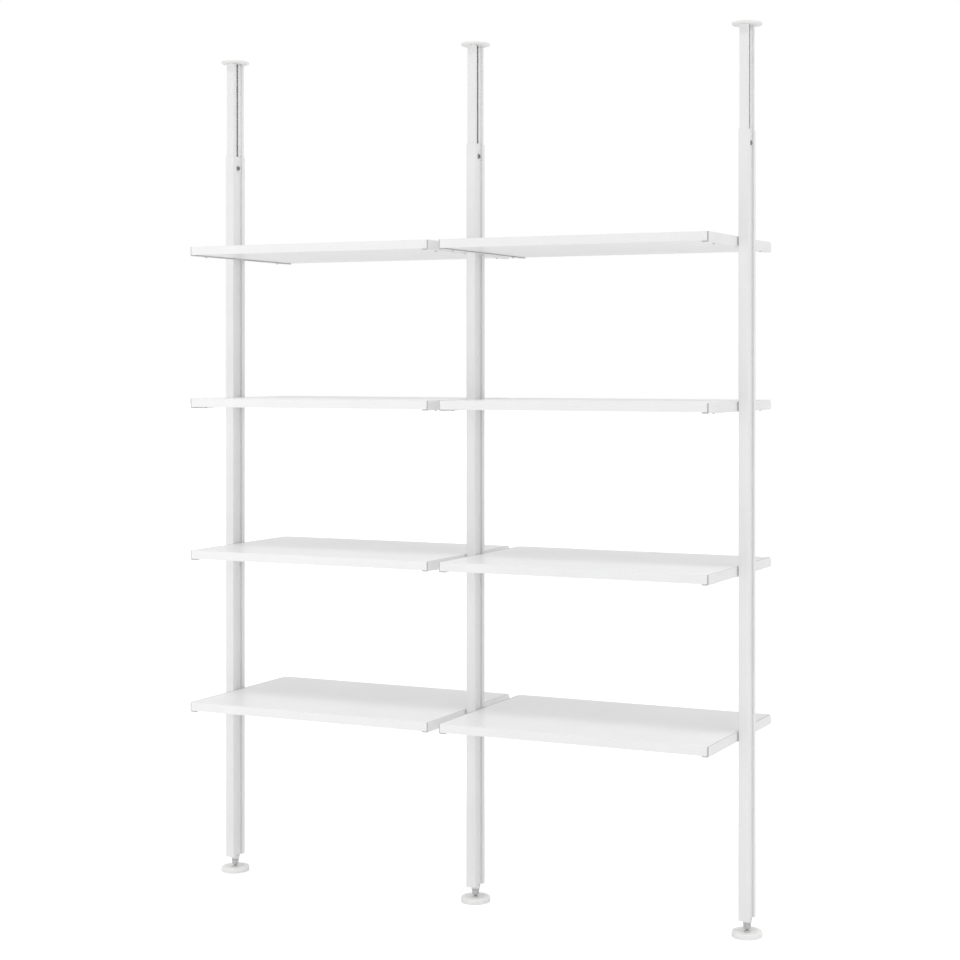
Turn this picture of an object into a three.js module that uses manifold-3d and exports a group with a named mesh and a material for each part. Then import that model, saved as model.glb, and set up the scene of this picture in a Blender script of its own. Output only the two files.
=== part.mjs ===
// Tension pole shelf unit: three telescopic posts clamped between floor and ceiling, with two bays
// of four shelves whose brackets slide in the posts' side slots.
// Millimetres, +X to the right, +Y to the back, +Z up. The origin is on the floor, midway along the unit.
import * as THREE from "three";
import { mergeVertices } from "three/addons/utils/BufferGeometryUtils.js";
import Module from "manifold-3d";

const wasm = await Module();
wasm.setup();

// Driving dimensions

const POST_NAMES = ["left", "middle", "right"];
const BAY_NAMES = ["left", "right"];
const POST_PITCH = 833; // from post to post
const ROOM_HEIGHT = 2490; // floor to ceiling, as set up
const FIRST_SHELF_TOP = 560; // top of the lowest board above the floor
const LAST_SHELF_DROP = 291.7; // from the lower post's top down to the top of the highest board
const SHELF_LEVELS = 4;

// Clearances
const SLIDE_GAP = 0.3; // between pieces that slide or turn in each other
const SEAT_GAP = 0.3; // between pieces that rest on each other
const OVERRUN = 2; // how far a cutting solid passes beyond what it cuts

// Shelf board
const BOARD_DEPTH = 510;
const BOARD_THICKNESS = 25;
const BOARD_END_GAP = 0.8; // from the board's end to the bracket's wall
const BOARD_EDGE_BREAK = 0.8; // small bevel along the board's edges
const BOARD_CORNER_RADIUS = 1.2; // upright corners of the top face, inside the bevel

// Lower post: a box section with an undercut slot down the middle of each side face
const POST_WIDTH = 29; // along the shelves
const POST_DEPTH = 61.6; // front to back
const POST_SIDE_WALL = 1.5;
const POST_FACE_WALL = 2.4;
const POST_CORNER_RADIUS = 2.2;
const CAVITY_CORNER_RADIUS = 0.8;
const SLOT_OPENING = 29.6; // between the lips
const SLOT_WIDTH = 32.6; // behind the lips
const SLOT_UNDERCUT = 3.9; // depth behind the lips
const SLOT_WALL = 1.5; // floor and sides of the slot

// Upper post: a hollow lobe at front and back, joined by a web with a lipped channel down each side of it
const UPPER_POST_LENGTH = 1500;
const UPPER_POST_SHOWN = 284.9; // the stretch above the lower post's top
const UPPER_POST_WALL = 1.5;
const UPPER_POST_WEB = 1.6;
const CHANNEL_OPENING = 9.6; // between the channel's lips
const UPPER_CORNER_RADIUS = 1.8;
const UPPER_INNER_RADIUS = 0.6;

// Ceiling pad
const PAD_RADIUS = 42;
const CEILING_PAD_THICKNESS = 7.3;
const CEILING_PAD_RIM = 2.6; // rounding of the rim
const CEILING_SPIGOT_LENGTH = 30; // of the two pegs that fill the lobes' ends

// Floor pad
const FLOOR_PAD_HEIGHT = 14.6; // at its crown
const FLOOR_PAD_RIM = 4.5; // rounding of the upper rim
const FLOOR_PAD_FOOT_BREAK = 1.2; // rounding of the lower rim
const DISH_RADIUS = 24;
const DISH_DEPTH = 2.1;
const DISH_SLOPE_WIDTH = 3; // the slope between dish and crown, seen from above

// Ball joint between rod and floor pad
const BALL_RADIUS = 6;
const BALL_CENTRE_HEIGHT = 10.5;
const NECK_RADIUS = 4;
const CUP_WALL = 2.2;
const CUP_MOUTH_ANGLE = 55; // degrees, from the rod's axis to the cup's lip

// Foot rod, with a flat that keeps it from turning in the plug
const ROD_RADIUS = 6;
const ROD_LENGTH = 78; // from the ball's centre to the rod's top
const ROD_FLAT = 5; // from the rod's axis to its flat
const NECK_TAPER = 2; // height of the cone between neck and rod
const NECK_LENGTH = 8.5; // from the ball's centre to that cone

// Foot nut, a hexagon with a conical collar
const NUT_STANDOFF = 9.5; // from the ball's centre to the nut's underside
const NUT_ACROSS_FLATS = 19;
const NUT_HEX_HEIGHT = 13;
const NUT_CHAMFER = 2; // the hexagon's lower corners are turned off at 30 degrees
const NUT_CONE_HEIGHT = 2.5;
const NUT_CONE_RADIUS = 9.8; // the cone's narrow end
const NUT_COLLAR_RADIUS = 11.5;
const NUT_COLLAR_HEIGHT = 1.5;

// Foot plug
const PLUG_BOSS_RADIUS = 14; // under the post
const PLUG_BOSS_TIP_RADIUS = 12; // above the nut
const PLUG_BOSS_HEIGHT = 10;
const PLUG_LENGTH = 38; // inside the post

// Bracket: an L-section along the board's end, with a T-shaped slider on its outer face
const BRACKET_WALL = 3;
const BRACKET_FLANGE = 20; // width under the board
const BRACKET_BEND_RADIUS = 0.6; // inside of the bend
const BRACKET_STANDOFF = 2.4; // from the post's side face
const BRACKET_REAR_RADIUS = 10; // rounded top corner at the back
const BRACKET_FRONT_INSET = 2; // behind the board's front edge
const SLIDER_HEIGHT = 24;

// Lock plate and lock screw
const LOCK_BELOW_TOP = 36; // from the lower post's top
const LOCK_PLATE_HEIGHT = 22;
const LOCK_SHANK_RADIUS = 3.9;
const LOCK_HEAD_RADIUS = 6.8;
const LOCK_HEAD_HEIGHT = 4.2;
const LOCK_HEAD_BREAK = 1.1; // rounding of the head's edge
const LOCK_SOCKET_ACROSS_FLATS = 6;
const LOCK_SOCKET_DEPTH = 2.8;

// How finely round shapes are faceted
const PAD_SIDES = 40;
const FOOT_SIDES = 24;
const BALL_STEPS = 7;
const CORNER_STEPS = 3;
const REAR_STEPS = 6; // for the bracket's rear corner
const WELD_DISTANCE = 1e-4;

// Sizes that follow from those above

const halfWidth = POST_WIDTH / 2;
const halfDepth = POST_DEPTH / 2;
const cavityHalfWidth = halfWidth - POST_SIDE_WALL;
const cavityHalfDepth = halfDepth - POST_FACE_WALL;
const slotFloor = cavityHalfWidth - SLOT_UNDERCUT; // from the post's middle plane
const waistHalfWidth = slotFloor - SLOT_WALL;
const waistHalfDepth = SLOT_WIDTH / 2 + SLOT_WALL;

const upperHalfWidth = cavityHalfWidth - SLIDE_GAP;
const upperHalfDepth = cavityHalfDepth - SLIDE_GAP;
const lobeStart = waistHalfDepth + SLIDE_GAP; // the lobes' faces towards the channels, from the middle
const lipOuter = waistHalfWidth - SLIDE_GAP;
const lipInner = lipOuter - UPPER_POST_WALL;

const nutBottom = BALL_CENTRE_HEIGHT + NUT_STANDOFF;
const nutHeight = NUT_HEX_HEIGHT + NUT_CONE_HEIGHT + NUT_COLLAR_HEIGHT;
const bossBottom = nutBottom + nutHeight + SEAT_GAP;
const lowerPostBottom = bossBottom + PLUG_BOSS_HEIGHT + SEAT_GAP;
const ceilingPadBottom = ROOM_HEIGHT - CEILING_PAD_THICKNESS;
const upperPostTop = ceilingPadBottom - SEAT_GAP;
const lowerPostTop = upperPostTop - UPPER_POST_SHOWN;
const lockHeight = lowerPostTop - LOCK_BELOW_TOP;
const shelfPitch = (lowerPostTop - LAST_SHELF_DROP - FIRST_SHELF_TOP) / (SHELF_LEVELS - 1);

const bracketOuter = halfWidth + BRACKET_STANDOFF; // wall's outer face, from the post's middle plane
const bracketInner = bracketOuter + BRACKET_WALL;
const boardLength = POST_PITCH - 2 * (bracketInner + BOARD_END_GAP);
const bracketBottom = -(BOARD_THICKNESS + SEAT_GAP + BRACKET_WALL); // below the board's top

// Materials

function finish(color, roughness, metalness = 0) {
  return new THREE.MeshStandardMaterial({ color, roughness, metalness });
}

const postWhite = finish(0xe9eae9, 0.42);
const bracketWhite = finish(0xe6e7e7, 0.45);
const boardWhite = finish(0xeeeeec, 0.28);
const padWhite = finish(0xe9e9e7, 0.5);
const plugGrey = finish(0xc9cac9, 0.55);
const zincSteel = finish(0xb4b6b8, 0.35, 1);
const darkNylon = finish(0x2b2c2e, 0.6);

// Solids

// A closed geometry with shared vertices merged and slivers left out.
function welded(geometry) {
  const bare = geometry.index ? geometry.toNonIndexed() : geometry.clone();
  bare.deleteAttribute("normal");
  bare.deleteAttribute("uv");
  const joined = mergeVertices(bare, WELD_DISTANCE);
  const corners = joined.index.array;
  const kept = [];
  for (let i = 0; i < corners.length; i += 3) {
    const [a, b, c] = corners.slice(i, i + 3);
    if (a !== b && b !== c && c !== a) kept.push(a, b, c);
  }
  joined.setIndex(kept);
  return joined;
}

function solid(geometry) {
  const closed = welded(geometry);
  return new wasm.Manifold(new wasm.Mesh({
    numProp: 3,
    vertProperties: new Float32Array(closed.attributes.position.array),
    triVerts: new Uint32Array(closed.index.array),
  }));
}

function geometryOf(body) {
  const mesh = body.getMesh();
  const geometry = new THREE.BufferGeometry();
  geometry.setAttribute("position", new THREE.BufferAttribute(mesh.vertProperties, 3));
  geometry.setIndex(new THREE.BufferAttribute(mesh.triVerts, 1));
  geometry.computeVertexNormals();
  return geometry;
}

function block([x0, x1], [y0, y1], [z0, z1]) {
  const geometry = new THREE.BoxGeometry(x1 - x0, y1 - y0, z1 - z0);
  return solid(geometry.translate((x0 + x1) / 2, (y0 + y1) / 2, (z0 + z1) / 2));
}

// A shape in the XY plane, raised from z0 to z1.
function prism(shape, z0, z1) {
  const geometry = new THREE.ExtrudeGeometry(shape, {
    depth: z1 - z0,
    bevelEnabled: false,
    curveSegments: CORNER_STEPS,
  });
  return solid(geometry.translate(0, 0, z0));
}

// A frustum or cylinder about the Z axis.
function round(lowRadius, highRadius, z0, z1, sides = FOOT_SIDES) {
  const geometry = new THREE.CylinderGeometry(highRadius, lowRadius, z1 - z0, sides);
  return solid(geometry.rotateX(Math.PI / 2).translate(0, 0, (z0 + z1) / 2));
}

// A profile of [radius, height] points turned about the Z axis.
function turned(profile, sides) {
  const points = profile.map(([radius, height]) => new THREE.Vector2(radius, height));
  return solid(new THREE.LatheGeometry(points, sides).rotateX(Math.PI / 2));
}

// Points of an arc about [cx, cy], from one angle to another in degrees.
function arc(cx, cy, radius, from, to, steps = CORNER_STEPS) {
  const points = [];
  for (let i = 0; i <= steps; i += 1) {
    const angle = THREE.MathUtils.degToRad(from + ((to - from) * i) / steps);
    points.push([cx + radius * Math.cos(angle), cy + radius * Math.sin(angle)]);
  }
  return points;
}

function outline(points) {
  return new THREE.Shape(points.map(([x, y]) => new THREE.Vector2(x, y)));
}

// The quarter of an outline at +X +Y, carried round to all four. It runs from the X axis to the Y axis.
function fourFold(quarter) {
  const back = [...quarter].reverse();
  return [
    ...quarter,
    ...back.map(([x, y]) => [-x, y]),
    ...quarter.map(([x, y]) => [-x, -y]),
    ...back.map(([x, y]) => [x, -y]),
  ];
}

// A dumb-bell section: two lobes at front and back joined by a narrower waist.
function waistedSection(lobeHalfWidth, lobeHalfDepth, waistWidth, waistDepth, cornerRadius) {
  const corner = arc(lobeHalfWidth - cornerRadius, lobeHalfDepth - cornerRadius, cornerRadius, 0, 90);
  return fourFold([[waistWidth, waistDepth], [lobeHalfWidth, waistDepth], ...corner]);
}

// Posts

function lowerPost() {
  const lip = SLOT_OPENING / 2;
  const undercut = SLOT_WIDTH / 2;
  const r = POST_CORNER_RADIUS;
  const corner = arc(halfWidth - r, halfDepth - r, r, 0, 90);
  const section = outline(fourFold([
    [slotFloor, undercut],
    [cavityHalfWidth, undercut],
    [cavityHalfWidth, lip],
    [halfWidth, lip],
    ...corner,
  ]));
  section.holes.push(outline(waistedSection(
    cavityHalfWidth,
    cavityHalfDepth,
    waistHalfWidth,
    waistHalfDepth,
    CAVITY_CORNER_RADIUS,
  )));
  const lockHole = round(LOCK_SHANK_RADIUS + SLIDE_GAP, LOCK_SHANK_RADIUS + SLIDE_GAP, 0, halfWidth)
    .rotate([0, 90, 0])
    .translate([0, 0, lockHeight]);
  return prism(section, lowerPostBottom, lowerPostTop).subtract(lockHole);
}

// The lower post's cavity, drawn in by a gap all round.
function insetCavity(gap, cornerRadius) {
  return outline(waistedSection(
    cavityHalfWidth - gap,
    cavityHalfDepth - gap,
    waistHalfWidth - gap,
    waistHalfDepth + gap,
    cornerRadius,
  ));
}

// The hollow of one of the upper post's lobes, drawn in by a gap. The side is -1 in front and 1 at the back.
function lobeHollow(side, gap) {
  const halfWidthInside = upperHalfWidth - UPPER_POST_WALL - gap;
  const near = lobeStart + UPPER_POST_WALL + gap;
  const far = upperHalfDepth - UPPER_POST_WALL - gap;
  const cornerX = halfWidthInside - UPPER_INNER_RADIUS;
  const cornerY = far - UPPER_INNER_RADIUS;
  const points = [
    [halfWidthInside, near],
    ...arc(cornerX, cornerY, UPPER_INNER_RADIUS, 0, 90),
    ...arc(-cornerX, cornerY, UPPER_INNER_RADIUS, 90, 180),
    [-halfWidthInside, near],
  ];
  return outline(points.map(([x, y]) => [x, side * y]));
}

function upperPost() {
  const corner = arc(
    upperHalfWidth - UPPER_CORNER_RADIUS,
    upperHalfDepth - UPPER_CORNER_RADIUS,
    UPPER_CORNER_RADIUS,
    0,
    90,
  );
  const section = outline(fourFold([
    [UPPER_POST_WEB / 2, lobeStart],
    [lipInner, lobeStart],
    [lipInner, CHANNEL_OPENING / 2],
    [lipOuter, CHANNEL_OPENING / 2],
    [lipOuter, lobeStart],
    [upperHalfWidth, lobeStart],
    ...corner,
  ]));
  section.holes.push(lobeHollow(-1, 0), lobeHollow(1, 0));
  return prism(section, upperPostTop - UPPER_POST_LENGTH, upperPostTop);
}

function ceilingPad() {
  const disc = turned([
    [0, ceilingPadBottom],
    ...arc(PAD_RADIUS - CEILING_PAD_RIM, ceilingPadBottom + CEILING_PAD_RIM, CEILING_PAD_RIM, -90, 0),
    ...arc(PAD_RADIUS - CEILING_PAD_RIM, ROOM_HEIGHT - CEILING_PAD_RIM, CEILING_PAD_RIM, 0, 90),
    [0, ROOM_HEIGHT],
  ], PAD_SIDES);
  const spigotBottom = upperPostTop - CEILING_SPIGOT_LENGTH;
  const spigotTop = ceilingPadBottom + CEILING_PAD_RIM;
  return disc
    .add(prism(lobeHollow(-1, SLIDE_GAP), spigotBottom, spigotTop))
    .add(prism(lobeHollow(1, SLIDE_GAP), spigotBottom, spigotTop));
}

// Foot

// The rod's own section, or with a gap the bore that guides it.
function flattedRod(radius, flat, z0, z1) {
  return round(radius, radius, z0, z1)
    .intersect(block([-radius - OVERRUN, flat], [-radius - OVERRUN, radius + OVERRUN], [z0, z1]));
}

function footPlug() {
  const plugTop = lowerPostBottom + PLUG_LENGTH;
  const coreRadius = waistHalfWidth - SLIDE_GAP;
  const low = bossBottom - OVERRUN;
  const bore = flattedRod(ROD_RADIUS + SLIDE_GAP, ROD_FLAT + SLIDE_GAP, low, plugTop + OVERRUN);
  return prism(insetCavity(SLIDE_GAP, UPPER_CORNER_RADIUS), lowerPostBottom, plugTop)
    .add(round(PLUG_BOSS_TIP_RADIUS, PLUG_BOSS_RADIUS, bossBottom, bossBottom + PLUG_BOSS_HEIGHT))
    .add(round(coreRadius, coreRadius, bossBottom, plugTop))
    .subtract(bore);
}

function footNut() {
  const cornerRadius = NUT_ACROSS_FLATS / 2 / Math.cos(Math.PI / 6);
  const bore = ROD_RADIUS + SLIDE_GAP;
  const hexTop = nutBottom + NUT_HEX_HEIGHT;
  const coneTop = hexTop + NUT_CONE_HEIGHT;
  const chamferRise = (cornerRadius - (NUT_ACROSS_FLATS / 2 - NUT_CHAMFER)) * Math.tan(Math.PI / 6);
  const chamferTop = nutBottom + chamferRise;
  const chamfer = round(NUT_ACROSS_FLATS / 2 - NUT_CHAMFER, cornerRadius, nutBottom, chamferTop)
    .add(round(cornerRadius, cornerRadius, chamferTop, coneTop));
  return round(cornerRadius, cornerRadius, nutBottom, hexTop + NUT_CONE_HEIGHT / 2, 6)
    .intersect(chamfer)
    .add(round(NUT_CONE_RADIUS, NUT_COLLAR_RADIUS, hexTop, coneTop))
    .add(round(NUT_COLLAR_RADIUS, NUT_COLLAR_RADIUS, coneTop, coneTop + NUT_COLLAR_HEIGHT))
    .subtract(round(bore, bore, nutBottom - OVERRUN, bossBottom + OVERRUN));
}

function footRod() {
  const neckStart = THREE.MathUtils.radToDeg(Math.acos(NECK_RADIUS / BALL_RADIUS));
  const neckTop = BALL_CENTRE_HEIGHT + NECK_LENGTH;
  const rodTop = BALL_CENTRE_HEIGHT + ROD_LENGTH;
  const ball = turned([
    ...arc(0, BALL_CENTRE_HEIGHT, BALL_RADIUS, -90, neckStart, BALL_STEPS),
    [NECK_RADIUS, neckTop],
    [ROD_RADIUS, neckTop + NECK_TAPER],
    [0, neckTop + NECK_TAPER],
  ], FOOT_SIDES);
  const shank = flattedRod(ROD_RADIUS, ROD_FLAT, neckTop + NECK_TAPER, rodTop);
  return ball.add(shank);
}

function ballCup() {
  const inner = BALL_RADIUS + SLIDE_GAP;
  const outer = inner + CUP_WALL;
  const lip = 90 - CUP_MOUTH_ANGLE;
  const outside = arc(0, BALL_CENTRE_HEIGHT, outer, -90, lip, BALL_STEPS);
  const inside = arc(0, BALL_CENTRE_HEIGHT, inner, lip, -90, BALL_STEPS);
  return turned([...outside, ...inside], FOOT_SIDES);
}

function floorPad() {
  const seat = BALL_RADIUS + CUP_WALL + 2 * SLIDE_GAP;
  const dishFloor = FLOOR_PAD_HEIGHT - DISH_DEPTH;
  const body = turned([
    [0, 0],
    ...arc(PAD_RADIUS - FLOOR_PAD_FOOT_BREAK, FLOOR_PAD_FOOT_BREAK, FLOOR_PAD_FOOT_BREAK, -90, 0),
    ...arc(PAD_RADIUS - FLOOR_PAD_RIM, FLOOR_PAD_HEIGHT - FLOOR_PAD_RIM, FLOOR_PAD_RIM, 0, 90),
    [DISH_RADIUS + DISH_SLOPE_WIDTH, FLOOR_PAD_HEIGHT],
    [DISH_RADIUS, dishFloor],
    [0, dishFloor],
  ], PAD_SIDES);
  const socket = turned(arc(0, BALL_CENTRE_HEIGHT, seat, -90, 90, 2 * BALL_STEPS), FOOT_SIDES);
  return body.subtract(socket);
}

// Lock

// Turns a solid about the Z axis so that its axis points to +X, at the lock's height.
function alongX(body) {
  return body.rotate([0, 90, 0]).translate([0, 0, lockHeight]);
}

const plateInner = UPPER_POST_WEB / 2 + SEAT_GAP;
const plateOuter = lipInner - SEAT_GAP;

// The threaded plate in the upper post's channel, behind its lips.
function lockPlate() {
  const halfLength = lobeStart - SLIDE_GAP;
  const halfHeight = LOCK_PLATE_HEIGHT / 2;
  const hole = round(LOCK_SHANK_RADIUS + SLIDE_GAP, LOCK_SHANK_RADIUS + SLIDE_GAP, 0, halfWidth);
  return block(
    [plateInner, plateOuter],
    [-halfLength, halfLength],
    [lockHeight - halfHeight, lockHeight + halfHeight],
  ).subtract(alongX(hole));
}

// The screw's head bears on the floor of the lower post's slot.
function lockScrew() {
  const tip = plateInner;
  const headBase = slotFloor + SEAT_GAP;
  const headTop = headBase + LOCK_HEAD_HEIGHT;
  const body = turned([
    [0, tip],
    [LOCK_SHANK_RADIUS, tip],
    [LOCK_SHANK_RADIUS, headBase],
    [LOCK_HEAD_RADIUS, headBase],
    ...arc(LOCK_HEAD_RADIUS - LOCK_HEAD_BREAK, headTop - LOCK_HEAD_BREAK, LOCK_HEAD_BREAK, 0, 90),
    [0, headTop],
  ], FOOT_SIDES);
  const socketRadius = LOCK_SOCKET_ACROSS_FLATS / 2 / Math.cos(Math.PI / 6);
  const socket = round(socketRadius, socketRadius, headTop - LOCK_SOCKET_DEPTH, headTop + OVERRUN, 6);
  return alongX(body.subtract(socket));
}

// Shelf, in the frame of its bay: x from the bay's middle, z from the board's top

function board() {
  const halfLength = boardLength / 2 - BOARD_EDGE_BREAK;
  const halfSpan = BOARD_DEPTH / 2 - BOARD_EDGE_BREAK;
  const radius = BOARD_CORNER_RADIUS;
  const corner = arc(halfLength - radius, halfSpan - radius, radius, 0, 90, 2);
  const geometry = new THREE.ExtrudeGeometry(outline(fourFold(corner)), {
    depth: BOARD_THICKNESS - 2 * BOARD_EDGE_BREAK,
    bevelEnabled: true,
    bevelSegments: 1,
    bevelSize: BOARD_EDGE_BREAK,
    bevelThickness: BOARD_EDGE_BREAK,
  });
  return solid(geometry.translate(0, 0, BOARD_EDGE_BREAK - BOARD_THICKNESS));
}

// The bracket at the board's left end. Its slider runs in the slot of the post on its left.
function leftBracket() {
  const postX = -POST_PITCH / 2;
  const outerX = postX + bracketOuter;
  const innerX = postX + bracketInner;
  const flangeTop = bracketBottom + BRACKET_WALL;
  const bendX = innerX + BRACKET_BEND_RADIUS;
  const bendZ = flangeTop + BRACKET_BEND_RADIUS;
  const section = outline([
    [outerX, 0],
    ...arc(bendX, bendZ, BRACKET_BEND_RADIUS + BRACKET_WALL, 180, 270),
    [outerX + BRACKET_FLANGE, bracketBottom],
    [outerX + BRACKET_FLANGE, flangeTop],
    ...arc(bendX, bendZ, BRACKET_BEND_RADIUS, 270, 180),
    [innerX, 0],
  ]);
  const halfSpan = BOARD_DEPTH / 2;
  const angle = prism(section, -halfSpan, halfSpan).rotate([90, 0, 0]);

  const side = outline([
    [-halfSpan + BRACKET_FRONT_INSET, bracketBottom],
    [halfSpan, bracketBottom],
    ...arc(halfSpan - BRACKET_REAR_RADIUS, -BRACKET_REAR_RADIUS, BRACKET_REAR_RADIUS, 0, 90, REAR_STEPS),
    [-halfSpan + BRACKET_FRONT_INSET, 0],
  ]);
  // The side view is drawn in Y and Z and raised along X.
  const silhouette = prism(side, -BRACKET_FLANGE - OVERRUN, BRACKET_FLANGE + OVERRUN)
    .rotate([90, 0, 90])
    .translate([outerX, 0, 0]);

  const middle = bracketBottom / 2;
  const sliderZ = [middle - SLIDER_HEIGHT / 2, middle + SLIDER_HEIGHT / 2];
  const headOuter = postX + cavityHalfWidth - SLIDE_GAP;
  const neckHalf = SLOT_OPENING / 2 - SLIDE_GAP;
  const headHalf = SLOT_WIDTH / 2 - SLIDE_GAP;
  const neck = block([headOuter, outerX + BRACKET_WALL / 2], [-neckHalf, neckHalf], sliderZ);
  const head = block([postX + slotFloor + SLIDE_GAP, headOuter], [-headHalf, headHalf], sliderZ);
  return angle.intersect(silhouette).add(neck).add(head);
}

function mirroredInX(body) {
  return body.mirror([1, 0, 0]);
}

// The unit

const unit = new THREE.Group();
unit.name = "tension_pole_shelf_unit";

function addPiece(parent, name, geometry, material) {
  const mesh = new THREE.Mesh(geometry, material);
  mesh.name = name;
  parent.add(mesh);
}

const postPieces = [
  ["lower_post", lowerPost, postWhite],
  ["upper_post", upperPost, postWhite],
  ["ceiling_pad", ceilingPad, padWhite],
  ["foot_plug", footPlug, plugGrey],
  ["foot_nut", footNut, zincSteel],
  ["foot_rod", footRod, zincSteel],
  ["ball_cup", ballCup, darkNylon],
  ["floor_pad", floorPad, padWhite],
  ["lock_plate", lockPlate, zincSteel],
  ["lock_screw", lockScrew, zincSteel],
].map(([name, make, material]) => [name, geometryOf(make()), material]);

POST_NAMES.forEach((postName, i) => {
  const post = new THREE.Group();
  post.position.x = (i - (POST_NAMES.length - 1) / 2) * POST_PITCH;
  for (const [name, geometry, material] of postPieces) {
    addPiece(post, `${name}_${postName}`, geometry, material);
  }
  unit.add(post);
});

const boardGeometry = geometryOf(board());
const leftBracketGeometry = geometryOf(leftBracket());
const rightBracketGeometry = geometryOf(mirroredInX(leftBracket()));

BAY_NAMES.forEach((bayName, i) => {
  for (let level = 1; level <= SHELF_LEVELS; level += 1) {
    const shelf = new THREE.Group();
    shelf.position.x = (i - (BAY_NAMES.length - 1) / 2) * POST_PITCH;
    shelf.position.z = FIRST_SHELF_TOP + (level - 1) * shelfPitch;
    addPiece(shelf, `board_${bayName}_${level}`, boardGeometry, boardWhite);
    addPiece(shelf, `bracket_${bayName}_${level}_left`, leftBracketGeometry, bracketWhite);
    addPiece(shelf, `bracket_${bayName}_${level}_right`, rightBracketGeometry, bracketWhite);
    unit.add(shelf);
  }
});

export default unit;
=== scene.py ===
"""Looks of the tension pole shelf unit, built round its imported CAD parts."""
import math

import bmesh
import bpy
from mathutils import Matrix, Vector


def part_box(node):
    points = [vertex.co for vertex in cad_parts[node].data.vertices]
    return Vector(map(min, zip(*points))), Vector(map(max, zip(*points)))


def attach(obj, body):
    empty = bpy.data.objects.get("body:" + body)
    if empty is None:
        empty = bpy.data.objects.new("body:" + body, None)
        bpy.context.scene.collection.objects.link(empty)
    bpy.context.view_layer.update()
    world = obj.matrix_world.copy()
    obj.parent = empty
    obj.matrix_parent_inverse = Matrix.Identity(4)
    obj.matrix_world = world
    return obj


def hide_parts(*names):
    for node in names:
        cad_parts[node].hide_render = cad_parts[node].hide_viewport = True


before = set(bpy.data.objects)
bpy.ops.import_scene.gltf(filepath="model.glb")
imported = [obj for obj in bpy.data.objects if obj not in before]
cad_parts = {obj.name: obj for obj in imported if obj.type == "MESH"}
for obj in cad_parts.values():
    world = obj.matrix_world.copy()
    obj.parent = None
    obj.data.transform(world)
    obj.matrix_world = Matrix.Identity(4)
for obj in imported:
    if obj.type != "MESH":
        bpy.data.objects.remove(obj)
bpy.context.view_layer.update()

MM = 0.001  # sizes below are in millimetres, and meshes are in metres
MERGE = 1e-6  # metres within which two points are one

# Sizes of the real pieces, as in the CAD parts

POSTS = ("left", "middle", "right")
BAYS = ("left", "right")
LEVELS = (1, 2, 3, 4)
SLIDE_GAP = 0.3

# Lower post
POST_WIDTH = 29.0
POST_DEPTH = 61.6
POST_SIDE_WALL = 1.5
POST_FACE_WALL = 2.4
POST_CORNER = 2.2
SLOT_OPENING = 29.6
SLOT_WIDTH = 32.6
SLOT_UNDERCUT = 3.9
SLOT_WALL = 1.5
LIP_EDGE = 0.45  # the extrusion's small edge radius
CAVITY_CORNER = 0.8

# Upper post
UPPER_WALL = 1.5
UPPER_WEB = 1.6
UPPER_EDGE = 0.35
UPPER_CORNER = 1.8
UPPER_INNER_CORNER = 0.6
CHANNEL_OPENING = 9.6

# Pads
PAD_RADIUS = 42.0
CEILING_PAD_THICKNESS = 7.3
CEILING_PAD_RIM = 2.6
FLOOR_PAD_HEIGHT = 14.6
FLOOR_PAD_RIM = 4.5
FLOOR_PAD_FOOT = 1.2
CROWN_START = 84.0  # degrees round the rim's rounding, where the crown begins
CROWN_END = 88.0  # and round the rounding of the dish's edge, where it ends
DISH_RADIUS = 24.0
DISH_DEPTH = 2.1
DISH_SLOPE = 3.0
DISH_EDGE = 1.5  # rounding where the dish meets the crown
DISH_FALL = 35.0  # degrees that its side falls where the two roundings end
DISH_INSET = 1.0  # the rounding at its floor starts this far inside it
SEAT_BREAK = 0.4  # bevel at the mouth of the cup's seat

# Ball joint and rod
BALL_CENTRE = 10.5
BALL_RADIUS = 6.0
NECK_RADIUS = 4.0
CUP_WALL = 2.2
CUP_MOUTH = 55.0  # degrees from the rod's axis to the cup's lip
CUP_LIP = 2.0  # degrees over which the lip is eased
ROD_RADIUS = 6.0
ROD_FLAT = 5.0
ROD_PITCH = 1.75
THREAD_DEPTH = 0.95
THREAD_ROOT = 1.15  # over 1, which leaves the thread's root flat
THREAD_FLANK = 2.6  # share of the depth that is lost over a turn's height
THREAD_RUNOUT = 0.5  # plain length below the thread
THREAD_END = 1.0  # plain length above it
ROD_TIP = 0.2  # bevel at the rod's top
NECK_TOP = 19.0
TAPER_TOP = 21.0

# Foot nut
NUT_FLATS = 19.0
NUT_CHAMFER = 2.0
NUT_CHAMFER_ANGLE = 30.0  # degrees from level
NUT_HEX = 13.0
NUT_CONE = 2.5
NUT_COLLAR = 1.5
NUT_CONE_RADIUS = 9.8
NUT_COLLAR_RADIUS = 11.5
NUT_BORE = 6.3
NUT_BREAK = 0.4  # bevels on its edges

# Board and the screws under it
BOARD_EDGE = 0.8
BOARD_CORNER = 1.0
BAND_THICKNESS = 1.0  # the edge band glued round the board
BAND_JOINT = 0.12  # the hairline where band and face meet
SCREW_HEAD_RADIUS = 4.0
SCREW_HEAD_HEIGHT = 2.2
SCREW_HEAD_CROWN = 2.6  # radius of the flat middle of the head
SCREW_HEAD_RIM = 0.6  # height of its straight side
SCREW_HEAD_SLOPE = 0.5
SCREW_SOCKET = 3.0  # across flats
SCREW_SOCKET_DEPTH = 1.3
SCREW_SOCKET_BREAK = 0.2
SCREW_SOCKET_POINT = 0.3  # the drill's cone at its bottom
SCREW_SPAN = 380.0  # between a bracket's two screws
SCREW_INSET = 10.0  # from the flange's free edge

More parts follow.
